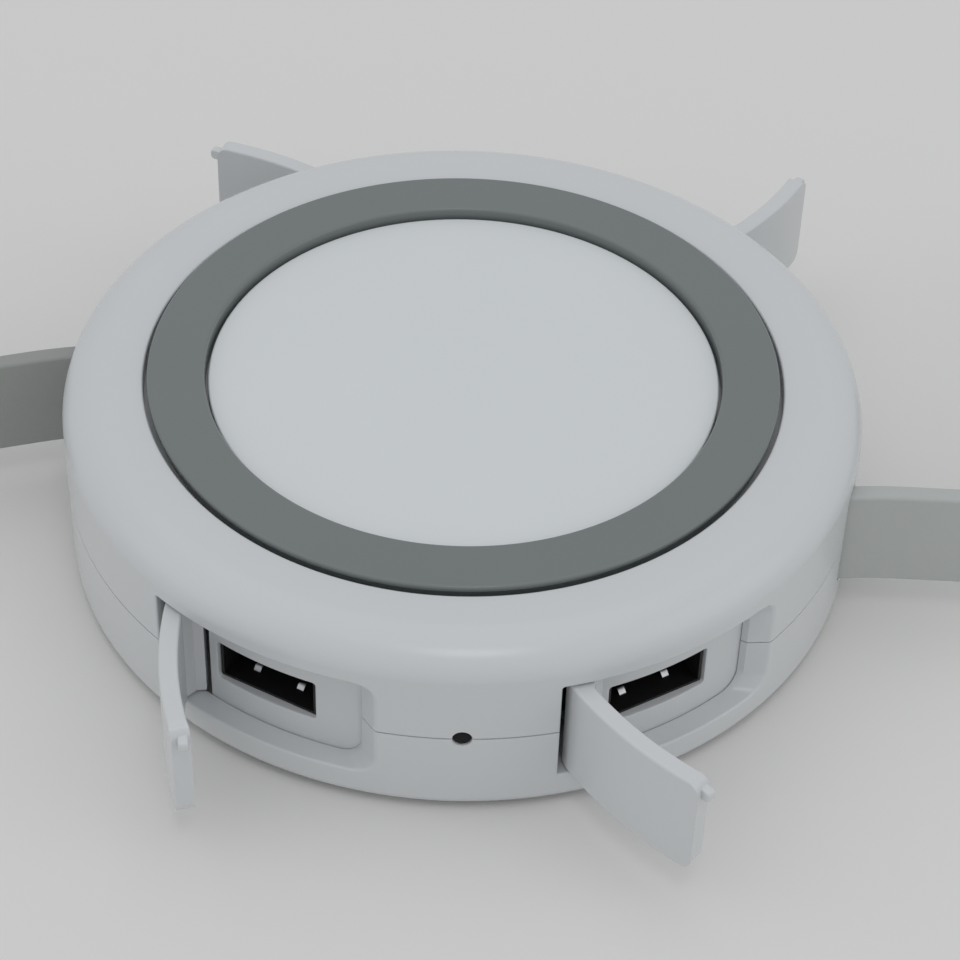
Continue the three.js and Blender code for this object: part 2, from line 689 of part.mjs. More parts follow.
// ---- reel brake ----
// The pawl lies beside the flange's rim. It swings inwards to drop its tip into a notch.
const [pawlX, pawlY] = onCircle(PAWL_PIVOT_R, PAWL_PIVOT_AZIMUTH);
const [notchX, notchY] = onCircle(FLANGE_R, NOTCH_AZIMUTH);
const pawlLength = Math.hypot(notchX - pawlX, notchY - pawlY);
const pawlShape = new THREE.Shape();
pawlShape.absarc(0, 0, 1.9, -Math.PI / 2, Math.PI / 2, true);
pawlShape.absarc(pawlLength, 0, 1, Math.PI / 2, -Math.PI / 2, true);
const pawlHole = new THREE.Path();
pawlHole.absarc(0, 0, PAWL_PIN_R + BEARING_GAP, 0, Math.PI * 2);
pawlShape.holes.push(pawlHole);
const pawl = add('brake_pawl', raised(pawlShape, 4.9, 5.8, 8), finishes.nylon);
pawl.position.set(pawlX, pawlY, 0);
pawl.rotation.z = Math.atan2(notchY - pawlY, notchX - pawlX) - PAWL_LIFT * RAD;
add('pawl_pin', rod(PAWL_PIN_R, 3.7, 6, 12).translate(pawlX, pawlY, 0), finishes.steel);

// ---- flat cable: winding, lead, free end and plug ----
const USB_A_PLUG = {
  grip: { length: 21, thickness: 7.2, width: 14.4 },
  tip: { length: 15.5, thickness: 4.5, width: 12 },
};
const SMALL_PLUG = {
  grip: { length: 18, thickness: 6.6, width: 14.4 },
  tip: { length: 6.2, thickness: 1.8, width: 6.9 },
};
const PLUG_WALL = 0.3;

for (const cable of CABLES) {
  const outAngle = cable.heading - Math.PI / 2;
  const turns = (TANGENT_R - WINDING_INNER_R) / (2 * CABLE_LAYER);
  const start = outAngle - turns * Math.PI * 2;
  const wound = spiralPoints(WINDING_INNER_R, TANGENT_R, start, turns, CABLE_Z, 36);
  add(`cable_winding_${cable.name}`, band(wound, CABLE_THICKNESS, CABLE_WIDTH), finishes.cable);

  const direction = new THREE.Vector2(Math.cos(cable.heading), Math.sin(cable.heading));
  const inside = Math.sqrt(BODY_R ** 2 - TANGENT_R ** 2);
  const leadAt = (distance) =>
    new THREE.Vector3(
      cable.slot.x - direction.x * distance, cable.slot.y - direction.y * distance, CABLE_Z);
  const lead = [leadAt(inside - GAP), leadAt(CABLE_INSIDE + GAP)];
  add(`cable_lead_${cable.name}`, band(lead, CABLE_THICKNESS, CABLE_WIDTH), finishes.cable);

  const { points, heading } = routePoints(cable);
  add(`cable_${cable.name}`, band(points, CABLE_THICKNESS, CABLE_WIDTH), finishes.cable);

  const plug = new THREE.Group();
  const end = points.at(-1);
  plug.position.set(end.x, end.y, TABLE_CABLE_Z + 0.45);
  plug.rotation.z = heading;
  part.add(plug);
  const { grip, tip } = cable.name === 'left' ? USB_A_PLUG : SMALL_PLUG;
  const gripShape = roundedRect(
    GAP, grip.length, -grip.width / 2, grip.width / 2, 1.6, 1);
  const gripBody = raised(gripShape, -grip.thickness / 2, grip.thickness / 2, 5).rotateX(Math.PI / 2);
  add(`plug_grip_${cable.name}`, gripBody, finishes.greyRubber, plug);
  const tipFrom = grip.length + GAP;
  const outside = block(
    tipFrom, tipFrom + tip.length, -tip.thickness / 2, tip.thickness / 2, -tip.width / 2, tip.width / 2);
  const hollow = block(
    tipFrom + 1, tipFrom + tip.length + 1,
    -tip.thickness / 2 + PLUG_WALL, tip.thickness / 2 - PLUG_WALL,
    -tip.width / 2 + PLUG_WALL, tip.width / 2 - PLUG_WALL);
  const metal = toGeometry(toSolid(outside).subtract(toSolid(hollow)));
  add(`plug_tip_${cable.name}`, metal, finishes.steel, plug);

  const guideOuter = block(-3.6, -1.2, -2.6, 2.6, SLOT_LOW_Z - 0.6, SLOT_HIGH_Z + 0.6);
  const guideInner = block(-5, 1, -SLOT_W / 2, SLOT_W / 2, SLOT_LOW_Z, SLOT_HIGH_Z);
  const guide = toGeometry(toSolid(guideOuter).subtract(toSolid(guideInner)));
  const guideMesh = add(`exit_guide_${cable.name}`, guide, finishes.darkPlastic);
  guideMesh.position.set(
    cable.slot.x - direction.x * GUIDE_INSET, cable.slot.y - direction.y * GUIDE_INSET, 0);
  guideMesh.rotation.z = cable.heading;
}

export default part;
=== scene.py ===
"""Looks of a round wireless charging pad with doored USB ports and a two-way flat cable.

Shapes are worked out in millimetres in the shared frame: +Z up, the front is -Y, and an
azimuth runs from the front towards +X. Meshes are written in metres.
"""

import json
import math

import bmesh
import bpy
from mathutils import Matrix, Vector


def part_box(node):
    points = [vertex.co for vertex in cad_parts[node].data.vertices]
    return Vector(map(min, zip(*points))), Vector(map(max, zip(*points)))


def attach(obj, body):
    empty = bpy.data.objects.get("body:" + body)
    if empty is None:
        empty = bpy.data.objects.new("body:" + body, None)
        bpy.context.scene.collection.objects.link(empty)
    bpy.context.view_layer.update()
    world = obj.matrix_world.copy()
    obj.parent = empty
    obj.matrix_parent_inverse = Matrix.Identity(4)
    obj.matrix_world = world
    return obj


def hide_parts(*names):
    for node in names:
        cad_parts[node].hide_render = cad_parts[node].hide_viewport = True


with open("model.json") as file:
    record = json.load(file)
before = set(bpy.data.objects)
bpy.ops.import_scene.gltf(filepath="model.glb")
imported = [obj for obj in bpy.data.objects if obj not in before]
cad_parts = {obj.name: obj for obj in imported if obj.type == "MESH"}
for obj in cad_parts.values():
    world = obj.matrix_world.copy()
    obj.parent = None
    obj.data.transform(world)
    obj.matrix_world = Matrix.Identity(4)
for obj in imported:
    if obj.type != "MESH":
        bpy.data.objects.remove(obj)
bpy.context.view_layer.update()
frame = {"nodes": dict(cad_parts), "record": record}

MM = 0.001
PORT_AZIMUTHS = {"front_left": -29.5, "front_right": 29.5, "rear_right": 149.5, "rear_left": 213.5}
DOOR_OPENINGS = {"front_left": 53, "front_right": 76.5, "rear_right": 97.5, "rear_left": 60.5}


def box_mm(node):
    low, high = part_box(node)
    return low / MM, high / MM


# ---- sizes taken from the frame ----
SHELL_LOW, SHELL_HIGH = box_mm("top_shell")
BASE_LOW, BASE_HIGH = box_mm("bottom_shell")
RING_LOW, RING_HIGH = box_mm("grip_ring")
DISC_LOW, DISC_HIGH = box_mm("centre_disc")
BODY_R = SHELL_HIGH.x
TOP_Z = SHELL_HIGH.z
PARTING_Z = (SHELL_LOW.z + BASE_HIGH.z) / 2
RING_R = RING_HIGH.x + 0.3
DISC_R = DISC_HIGH.x

# ---- shells ----
WALL_INNER_R = 47.2
SHOULDER_Z = 21.4
SHOULDER_R = 44.1
WELL_R = 39.85
SHELF_TOP_Z = 23.3
SHELF_LOW_Z = 22.3
SHELF_INNER_R = 29
BASE_ROUND_R = 48.4
BASE_ROUND_Z = 2.4
PAD_R = 42.3
FLOOR_LOW_Z = 1.9
FLOOR_TOP_Z = 3.4
RING_INNER_R = 32.25
PARTING_EDGE = 0.12
PARTING_STEP = 0.03
WELL_EDGE = 0.3
LIGHT_HOLE_R = 1.15
LIGHT_RIM_R = 1.25
RING_LIP = 0.74
RING_UNDERCUT = 0.6
SHELL_SEGMENTS = 288

# ---- ports ----
RECESS_LOW_Z = 5.2
RECESS_HIGH_Z = 19.9
RECESS_HINGE_X = -14.1
RECESS_END_X = 11.4
RECESS_CORNER = 2.5
RECESS_RAMP = 1.3
RECESS_FLOOR_R = 46.9
PLATE_FACE_R = 47.1
BEZEL_BACK_R = 45
BEZEL_HINGE_X = -7.9
BEZEL_END_X = 14.2
PORT_Z = 11.95
MOUTH_W = 13.4
MOUTH_H = 5.8
SOCKET_H = 5.7
SOCKET_WALL = 0.35
TONGUE_FRONT_Y = -42.3
SPRING_X = 3
SPRING_W = 0.9
CONTACT_XS = (-3.5, -1, 1, 3.5)
CONTACT_W = 1
CUTTER_STEP = 0.8
CUTTER_REACH = 3
EDGE = 0.3

# ---- doors ----
DOOR_LOW_Z = RECESS_LOW_Z + 0.3
DOOR_HIGH_Z = RECESS_HIGH_Z - 0.3
DOOR_INNER_R = 47.75
DOOR_END_X = 9.2
DOOR_CORNER = 1.8
KNUCKLE_R = 1.4
PIVOT_X = -11.5
PIVOT_R = 48.5
PIVOT_Y = -math.sqrt(PIVOT_R**2 - PIVOT_X**2)
HEEL_REACH = 2.9
HEEL_THICKNESS = 1.3
CORNER_REACH = 4
TAB_REACH = 0.9
TAB_DROP = 0.9
TAB_HEIGHT = 1.5
TAB_CORNER = 0.5

# ---- flat cable ----
TANGENT_R = 17.4
CABLE_WIDTH = 14
CABLE_THICKNESS = 2.4
CABLE_Z = 12.7
CABLE_INSIDE = 26
SEEN_LENGTH = 15
BEND_LENGTH = 6
TURN_RADIUS = 30
TURN_ANGLE = 88
TAIL_LENGTH = 22
TABLE_CABLE_Z = 7.05
ROUTE_STEP = 0.5
SLOT_W = 3.3
SLOT_LOW_Z = 5.5
SLOT_HIGH_Z = 19.9
CABLES = {
    "left": {"slot": -101.3, "bend": 6, "turn": -1},
    "right": {"slot": 72.7, "bend": -6, "turn": 1},
}

# ---- plugs at the far ends ----
PLUGS = {
    "left": {"length": 21, "thick": 7.2, "tip_length": 15.5, "tip_thick": 4.5, "tip_w": 12,
             "tongue_back": 1.2, "tongue_inset": 0.1},
    "right": {"length": 18, "thick": 6.6, "tip_length": 6.2, "tip_thick": 1.8, "tip_w": 6.9,
              "tongue_back": 0.6, "tongue_inset": 0.7},
}
GRIP_W = 14.4
GRIP_LIFT = 0.45
TIP_WALL = 0.35
RIB_START = 2.2
RIB_PITCH = 1.1
RIB_COUNT = 4

# ---- camera, as the photograph was taken ----
VIEW_AZIMUTH = -1.6
VIEW_ELEVATION = 42.476
VIEW_DISTANCE = 355.6
VIEW_ROLL = 1.913
VIEW_TARGET = Vector((2.445, -0.068, 7.144))
LENS = 103.15
SENSOR = 36


def place_camera():
    azimuth, elevation = math.radians(VIEW_AZIMUTH), math.radians(VIEW_ELEVATION)
    level = math.cos(elevation)
    away = Vector((level * math.sin(azimuth), -level * math.cos(azimuth), math.sin(elevation)))
    data = bpy.data.cameras.new("camera")
    data.lens = LENS
    data.sensor_width = SENSOR
    data.clip_start = 0.01
    camera = bpy.data.objects.new("camera", data)
    bpy.context.scene.collection.objects.link(camera)
    turn = (-away).to_track_quat("-Z", "Y").to_matrix().to_4x4()
    roll = Matrix.Rotation(math.radians(VIEW_ROLL), 4, "Z")
    place = Matrix.Translation((VIEW_TARGET + away * VIEW_DISTANCE) * MM)
    camera.matrix_world = place @ turn @ roll
    bpy.context.scene.camera = camera


place_camera()


# ---- materials ----
COAT_ROUGHNESS = 0.12
RELIEF_HEIGHT = 0.0002


def shader(name, colour, roughness, **settings):
    """A material with fine grain in its colour, roughness and surface."""
    grain = settings.get("grain", 900)
    mottle = settings.get("mottle", 60)
    shift = settings.get("shift", 0.03)
    bump = settings.get("bump", 0.04)
    rough_shift = settings.get("rough_shift", 0.06)
    material = bpy.data.materials.new(name)
    material.use_nodes = True
    tree = material.node_tree
    principled = tree.nodes["Principled BSDF"]
    principled.inputs["Metallic"].default_value = settings.get("metallic", 0)
    principled.inputs["IOR"].default_value = 1.5
    principled.inputs["Specular IOR Level"].default_value = settings.get("specular", 0.5)
    if "coat" in settings:
        principled.inputs["Coat Weight"].default_value = settings["coat"]
        principled.inputs["Coat Roughness"].default_value = COAT_ROUGHNESS
    place = tree.nodes.new("ShaderNodeTexCoord")
    coarse = noise(tree, place, mottle, 3)
    fine = noise(tree, place, grain, 2)
    mix = tree.nodes.new("ShaderNodeMix")
    mix.data_type = "RGBA"
    mix.inputs["A"].default_value = (*[c * (1 - shift) for c in colour], 1)
    mix.inputs["B"].default_value = (*[min(1, c * (1 + shift)) for c in colour], 1)
    tree.links.new(coarse.outputs["Fac"], mix.inputs["Factor"])
    tree.links.new(mix.outputs["Result"], principled.inputs["Base Color"])
    spread = tree.nodes.new("ShaderNodeMapRange")
    spread.inputs["To Min"].default_value = roughness - rough_shift
    spread.inputs["To Max"].default_value = roughness + rough_shift
    tree.links.new(fine.outputs["Fac"], spread.inputs["Value"])
    tree.links.new(spread.outputs["Result"], principled.inputs["Roughness"])
    relief = tree.nodes.new("ShaderNodeBump")
    relief.inputs["Strength"].default_value = bump
    relief.inputs["Distance"].default_value = RELIEF_HEIGHT
    tree.links.new(fine.outputs["Fac"], relief.inputs["Height"])
    tree.links.new(relief.outputs["Normal"], principled.inputs["Normal"])
    return material


def noise(tree, place, scale, detail):
    node = tree.nodes.new("ShaderNodeTexNoise")
    node.inputs["Scale"].default_value = scale
    node.inputs["Detail"].default_value = detail
    tree.links.new(place.outputs["Object"], node.inputs["Vector"])
    return node


FINISHES = {
    "gloss_white": shader("gloss_white", (0.65, 0.665, 0.675), 0.24, shift=0.012, bump=0.012, grain=2600),
    "satin_white": shader("satin_white", (0.71, 0.735, 0.74), 0.36, shift=0.012, bump=0.02, grain=2600),
    "grey_rubber": shader("grey_rubber", (0.168, 0.187, 0.185), 0.45, bump=0.12, grain=2400, coat=0.5),
    "black_rubber": shader("black_rubber", (0.02, 0.02, 0.022), 0.75, bump=0.3),
    "black_plastic": shader("black_plastic", (0.012, 0.012, 0.014), 0.45, bump=0.1),
    "dark_lens": shader(
        "dark_lens", (0.003, 0.003, 0.004), 0.15, rough_shift=0.02, bump=0.0, specular=0.2),
    "flat_cable_left": shader("flat_cable_left", (0.32, 0.332, 0.315), 0.55, bump=0.2, grain=1400),
    "flat_cable_right": shader("flat_cable_right", (0.48, 0.50, 0.485), 0.55, bump=0.2, grain=1400),
    "plug_grey": shader("plug_grey", (0.27, 0.285, 0.275), 0.5, bump=0.15),
    "steel": shader("steel", (0.62, 0.62, 0.63), 0.3, metallic=1, grain=2500, bump=0.012),
    "black_metal": shader("black_metal", (0.012, 0.012, 0.013), 0.5, metallic=0.2, bump=0.1),
    "spring_steel": shader("spring_steel", (0.30, 0.33, 0.38), 0.3, metallic=1),
    "copper": shader("copper", (0.72, 0.36, 0.18), 0.35, metallic=1, grain=3000, bump=0.3),
    "brass": shader("brass", (0.78, 0.58, 0.27), 0.3, metallic=1),
    "ferrite": shader("ferrite", (0.04, 0.038, 0.036), 0.6, bump=0.4),
    "nylon": shader("nylon", (0.66, 0.63, 0.56), 0.45, bump=0.08),
    "circuit_board": shader("circuit_board", (0.02, 0.12, 0.06), 0.4, shift=0.2, mottle=220),
}
SLOT_OF = {s["node"]: s["material_slot"] for s in frame["record"]["subparts"]}
for node_name, node_object in frame["nodes"].items():
    node_object.data.materials.clear()
    node_object.data.materials.append(FINISHES[SLOT_OF[node_name]])


# ---- mesh helpers ----
def piece(name, points, faces, finish, body, replaces=(), sharp=32):
    """A mesh object from points in millimetres, riding on a body."""
    mesh = bpy.data.meshes.new(name)
    mesh.from_pydata([Vector(p) * MM for p in points], [], faces)
    made = bmesh.new()
    made.from_mesh(mesh)
    bmesh.ops.remove_doubles(made, verts=made.verts, dist=1e-7)
    bmesh.ops.dissolve_degenerate(made, edges=made.edges, dist=1e-7)
    bmesh.ops.recalc_face_normals(made, faces=made.faces)
    made.to_mesh(mesh)
    made.free()
    made_object = bpy.data.objects.new(name, mesh)
    bpy.context.scene.collection.objects.link(made_object)
    if body:
        finish_piece(made_object, finish, body, replaces, sharp)
    return made_object


def finish_piece(made_object, finish, body, replaces=(), sharp=32):
    made_object.data.materials.clear()
    made_object.data.materials.append(FINISHES[finish])
    smooth(made_object, sharp)
    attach(made_object, body)
    if replaces:
        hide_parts(*replaces)


def smooth(made_object, sharp):
    """Smooth shading with sharp edges above an angle, weighted towards the large faces."""
    made = bmesh.new()
    made.from_mesh(made_object.data)
    limit = math.radians(sharp)
    for face in made.faces:
        face.smooth = True
    for edge in made.edges:
        edge.smooth = len(edge.link_faces) == 2 and edge.calc_face_angle(0) < limit
    made.to_mesh(made_object.data)
    made.free()
    weighted = made_object.modifiers.new("weighted", "WEIGHTED_NORMAL")
    weighted.keep_sharp = True
    apply_modifiers(made_object)


def apply_modifiers(made_object):
    bpy.context.view_layer.update()
    graph = bpy.context.evaluated_depsgraph_get()
    evaluated = made_object.evaluated_get(graph)
    result = bpy.data.meshes.new_from_object(evaluated, depsgraph=graph)
    made_object.modifiers.clear()
    old = made_object.data
    made_object.data = result
    bpy.data.meshes.remove(old)
    result.name = made_object.name


def combine(made_object, cutters, operation="DIFFERENCE"):
    """Cuts the cutters out of an object, or adds them to it, and removes them."""
    for cutter in cutters:
        modifier = made_object.modifiers.new("cut", "BOOLEAN")
        modifier.operation = operation
        modifier.solver = "EXACT"
        modifier.object = cutter
    apply_modifiers(made_object)
    for cutter in cutters:
        bpy.data.objects.remove(cutter)


def turned(outline, segments=SHELL_SEGMENTS):
    """(points, faces) of a closed outline of (radius, z) turned about Z."""
    count = len(outline)
    points = []
    faces = []
    for i in range(segments):
        angle = 2 * math.pi * i / segments
        points += [(r * math.cos(angle), r * math.sin(angle), z) for r, z in outline]
        here, there = i * count, (i + 1) % segments * count
        for k in range(count):
            after = (k + 1) % count
            faces.append((here + k, there + k, there + after, here + after))
    return points, faces


def stacked(rings):
    """(points, faces) of rings with as many points each, closed with a face at both ends."""
    count = len(rings[0])
    points = [p for ring in rings for p in ring]
    faces = [tuple(range(count)), tuple(range(len(points) - count, len(points)))]
    for i in range(len(rings) - 1):
        here, there = i * count, (i + 1) * count
        for k in range(count):
            after = (k + 1) % count
            faces.append((here + k, here + after, there + after, there + k))
    return points, faces


def rounded(corners, steps=4):
    """A closed outline from (x, y, radius) corners, each rounded by its radius."""
    outline = []
    count = len(corners)
    for i, (x, y, radius) in enumerate(corners):
        corner = Vector((x, y))
        before = (Vector(corners[i - 1][:2]) - corner).normalized()
        after = (Vector(corners[(i + 1) % count][:2]) - corner).normalized()
        if radius == 0 or before.dot(after) < -0.999:
            outline.append((x, y))
            continue
        half = before.angle(after) / 2
        centre = corner + (before + after).normalized() * (radius / math.sin(half))
        start = corner + before * (radius / math.tan(half)) - centre
        end = corner + after * (radius / math.tan(half)) - centre
        total = start.angle_signed(end)
        for k in range(steps + 1):
            turn = Matrix.Rotation(-total * k / steps, 2)
            outline.append(tuple(centre + turn @ start))
    return outline


def rectangle(low_x, high_x, low_y, high_y, radius, steps=4):
    return rounded(
        [(low_x, low_y, radius), (high_x, low_y, radius), (high_x, high_y, radius),
         (low_x, high_y, radius)],
        steps,
    )


def divided(outline, longest):
    """The closed outline with more points, none further apart than the longest step."""
    result = []
    for i, start in enumerate(outline):
        end = outline[(i + 1) % len(outline)]
        steps = max(1, math.ceil(math.dist(start, end) / longest))
        for k in range(steps):
            f = k / steps
            result.append((start[0] + (end[0] - start[0]) * f, start[1] + (end[1] - start[1]) * f))
    return result


def inset(outline, distance):
    """A closed outline moved inwards by a distance; it runs anticlockwise."""
    result = []
    count = len(outline)
    for i, (x, y) in enumerate(outline):
        before, after = outline[i - 1], outline[(i + 1) % count]
        a = Vector((x - before[0], y - before[1])).normalized()
        b = Vector((after[0] - x, after[1] - y)).normalized()
        normal = Vector((-a.y - b.y, a.x + b.x))
        scale = distance / max(0.35, normal.length_squared / 2)
        result.append((x + normal.x * scale, y + normal.y * scale))
    return result


def edge_levels(low, high, radius, steps=4):
    """(height, inset) levels of a solid whose two end edges are rounded by a radius."""
    bottom = [
        (low + radius * (1 - math.cos(math.pi / 2 * k / steps)),
         radius * (1 - math.sin(math.pi / 2 * k / steps)))
        for k in range(steps + 1)
    ]
    top = [(low + high - z, cut) for z, cut in reversed(bottom)]
    return bottom + top


def turned_about_z(points, degrees):
    turn = Matrix.Rotation(math.radians(degrees), 3, "Z")
    return [tuple(turn @ Vector(p)) for p in points]


def arc(centre_r, centre_z, radius_r, radius_z, start, end, steps):
    points = []
    for i in range(steps + 1):
        angle = math.radians(start + (end - start) * i / steps)
        points.append((centre_r + radius_r * math.cos(angle), centre_z + radius_z * math.sin(angle)))
    return points


# ---- cords: the same route as in CAD, on a finer step ----
def on_circle(radius, azimuth):
    angle = math.radians(azimuth)
    return radius * math.sin(angle), -radius * math.cos(angle)


def cable_heading(cable):
    x, y = on_circle(BODY_R, cable["slot"])
    return math.atan2(y, x) + math.asin(TANGENT_R / BODY_R)


def smoothstep(value, low, high):
    f = min(1, max(0, (value - low) / (high - low)))
    return f * f * (3 - 2 * f)


def cable_route(cable):
    """Points of (x, y, z, heading) from inside the slot to the plug."""
    turn_length = TURN_RADIUS * math.radians(TURN_ANGLE)
    sections = [
        (CABLE_INSIDE + 1, 0),
        (BEND_LENGTH, cable["bend"]),
        (SEEN_LENGTH - BEND_LENGTH, 0),
        (turn_length, cable["turn"] * TURN_ANGLE),
        (TAIL_LENGTH, 0),
    ]
    total = sum(length for length, _ in sections)
    heading = cable_heading(cable)
    x, y = on_circle(BODY_R, cable["slot"])
    x -= CABLE_INSIDE * math.cos(heading)
    y -= CABLE_INSIDE * math.sin(heading)
    travelled = 0
    route = [(x, y, CABLE_Z, heading)]
    for length, angle in sections:
        steps = math.ceil(length / ROUTE_STEP)
        for _ in range(steps):
            heading += math.radians(angle) / steps / 2
            x += length / steps * math.cos(heading)
            y += length / steps * math.sin(heading)
            heading += math.radians(angle) / steps / 2
            travelled += length / steps
            drop = smoothstep(travelled, CABLE_INSIDE + SEEN_LENGTH, total - TAIL_LENGTH / 2)
            z = CABLE_Z + (TABLE_CABLE_Z - CABLE_Z) * drop
            route.append((x, y, z, heading))
    return route


def flat_cable(name, cable):
    route = cable_route(cable)
    half_w, half_t = CABLE_WIDTH / 2, CABLE_THICKNESS / 2
    section = rectangle(-half_t, half_t, -half_w, half_w, 0.5, 4)
    rings = []
    for x, y, z, heading in route:
        across = Vector((math.sin(heading), -math.cos(heading), 0))
        rings.append([Vector((x, y, z)) + across * a + Vector((0, 0, b)) for a, b in section])
    points, faces = stacked(rings)
    cord = piece(f"flat_cable_{name}", points, faces, f"flat_cable_{name}", f"{name}_cable",
                 [f"cable_{name}"])
    return cord, route


def plug(name, route):
    """The moulded grip and the metal tip, pushed along the end of the cable."""
    x, y, z, heading = route[-1]
    spec = PLUGS[name]
    length, thick = spec["length"], spec["thick"]
    ahead = Vector((math.cos(heading), math.sin(heading), 0))
    across = Vector((math.sin(heading), -math.cos(heading), 0))
    origin = Vector((x, y, TABLE_CABLE_Z + GRIP_LIFT))

    def ring(distance, half_t, half_w, corner):
        section = rectangle(-half_t, half_t, -half_w, half_w, corner, 5)
        centre = origin + ahead * distance
        return [centre + across * a + Vector((0, 0, b)) for a, b in section]

    neck = 6
    stations = [0.3, 0.45, 0.8, 1.6]
    ribs = [RIB_START + RIB_PITCH * k for k in range(RIB_COUNT)]
    body_rings = []
    for distance in stations:
        shrink = 1.6 - min(1.6, distance)
        cut = shrink * 0.5
        body_rings.append(ring(distance, thick / 2 - 0.7 - cut, GRIP_W / 2 - 0.25 - cut, 1.2))
    for rib in ribs:
        for step, dent in ((0, 0), (0.12, 0.4), (0.5, 0.4), (0.62, 0)):
            half_t = thick / 2 - 0.7 + (rib - RIB_START) * 0.1 - dent
            body_rings.append(ring(rib + step, half_t, GRIP_W / 2 - 0.25 - dent, 1.2))
    for distance, cut in ((neck + 0.6, 0.15), (neck + 1.4, 0), (length - 0.9, 0), (length - 0.5, 0.12),
                          (length - 0.18, 0.4), (length, 0.9)):
        body_rings.append(ring(distance, thick / 2 - cut, GRIP_W / 2 - cut, 1.4))
    points, faces = stacked(body_rings)
    grip = piece(f"plug_grip_mould_{name}", points, faces, "plug_grey", f"{name}_cable",
                 [f"plug_grip_{name}"], sharp=40)

    start, end = length - 0.4, length + 0.3 + spec["tip_length"]
    outer = (spec["tip_thick"] / 2, spec["tip_w"] / 2)
    inner = (outer[0] - TIP_WALL, outer[1] - TIP_WALL)
    tip_rings = [
        ring(start, *outer, 0.5), ring(end - 0.15, *outer, 0.5),
        ring(end, outer[0] - 0.12, outer[1] - 0.12, 0.42), ring(end - 0.15, *inner, 0.2),
        ring(start + 0.3, *inner, 0.2),
    ]
    points, faces = stacked(tip_rings)
    metal = piece(f"plug_shell_{name}", points, faces, "steel", f"{name}_cable",
                  [f"plug_tip_{name}"], sharp=40)
    pieces = [grip, metal]
    tongue_from, tongue_to = start + 0.5, end - spec["tongue_back"]
    low_a, high_a = (-inner[0] + 0.1, -0.1) if name == "left" else (-0.28, 0.28)
    half_w = inner[1] - spec["tongue_inset"]
    section = rectangle(low_a, high_a, -half_w, half_w, 0.1, 2)
    rings = [
        [origin + ahead * d + across * a + Vector((0, 0, b)) for a, b in section]
        for d in (tongue_from, tongue_to)
    ]
    points, faces = stacked(rings)
    pieces.append(piece(f"plug_tongue_{name}", points, faces, "black_plastic", f"{name}_cable"))
    return pieces


for cable_name, cable_spec in CABLES.items():
    cable_piece, cable_points = flat_cable(cable_name, cable_spec)
    plug_pieces = plug(cable_name, cable_points)


# ---- shells ----
def recess_cutter(azimuth):
    """The window of a port, with a rounded lip where it meets the outside of the wall."""
    outline = divided(
        rounded(
            [(RECESS_HINGE_X, RECESS_LOW_Z, 0.3), (RECESS_END_X, RECESS_LOW_Z, RECESS_CORNER),
             (RECESS_END_X, RECESS_HIGH_Z, RECESS_CORNER), (RECESS_HINGE_X, RECESS_HIGH_Z, 0.3)],
            8,
        ),
        CUTTER_STEP,
    )
    stations = [(45.3, 0), (48, 0), (BODY_R - EDGE, 0)]
    for k in range(1, 5):
        angle = math.pi / 2 * k / 4
        stations.append((BODY_R - EDGE * (1 - math.sin(angle)), EDGE * (1 - math.cos(angle))))
    stations.append((BODY_R + 1, EDGE + 0.02))
    rings = []
    for radius, lip in stations:
        ring = []
        for x, z in inset(outline, -lip):
            share = smoothstep(x, 0, RECESS_END_X)
            x += max(0, radius - RECESS_FLOOR_R) * RECESS_RAMP * share
            ring.append((x, -math.sqrt(radius**2 - x**2), z))
        rings.append(turned_about_z(ring, azimuth))
    rings.append(turned_about_z([(x, -BODY_R - CUTTER_REACH, z) for x, _, z in ring], azimuth))
    return piece("recess_cutter", *stacked(rings), None, None)


def slot_cutter(cable):
    heading = cable_heading(cable)
    x, y = on_circle(BODY_R, cable["slot"])
    outline = rectangle(-SLOT_W / 2, SLOT_W / 2, SLOT_LOW_Z, SLOT_HIGH_Z, 0.6, 4)
    ahead = Vector((math.cos(heading), math.sin(heading), 0))
    across = Vector((math.sin(heading), -math.cos(heading), 0))
    rings = []
    for distance in (-9, 8):
        centre = Vector((x, y, 0)) + ahead * distance
        rings.append([centre + across * a + Vector((0, 0, b)) for a, b in outline])
    return piece("slot_cutter", *stacked(rings), None, None)


def front_rings(stations, count):
    """Rings round the front hole's axis, from (y, radius) stations."""
    angles = [2 * math.pi * k / count for k in range(count)]
    return [
        [(radius * math.cos(angle), y, PARTING_Z + radius * math.sin(angle)) for angle in angles]
        for y, radius in stations
    ]


def light_cutter():
    stations = ((-BODY_R + 6, LIGHT_HOLE_R), (-BODY_R + 0.12, LIGHT_HOLE_R),
                (-BODY_R, LIGHT_RIM_R), (-BODY_R - 1, 2))
    return piece("light_cutter", *stacked(front_rings(stations, 48)), None, None)


def cut_sides(shell):
    cutters = [recess_cutter(azimuth) for azimuth in PORT_AZIMUTHS.values()]
    cutters += [slot_cutter(cable) for cable in CABLES.values()]
    cutters.append(light_cutter())
    combine(shell, cutters)


def wall_points(low, high, radius, step=1.4):
    """Points up the plain outside wall, so that its faces stay small beside the cuts."""
    count = round((high - low) / step)
    return [(radius, low + (high - low) * i / count) for i in range(1, count)]


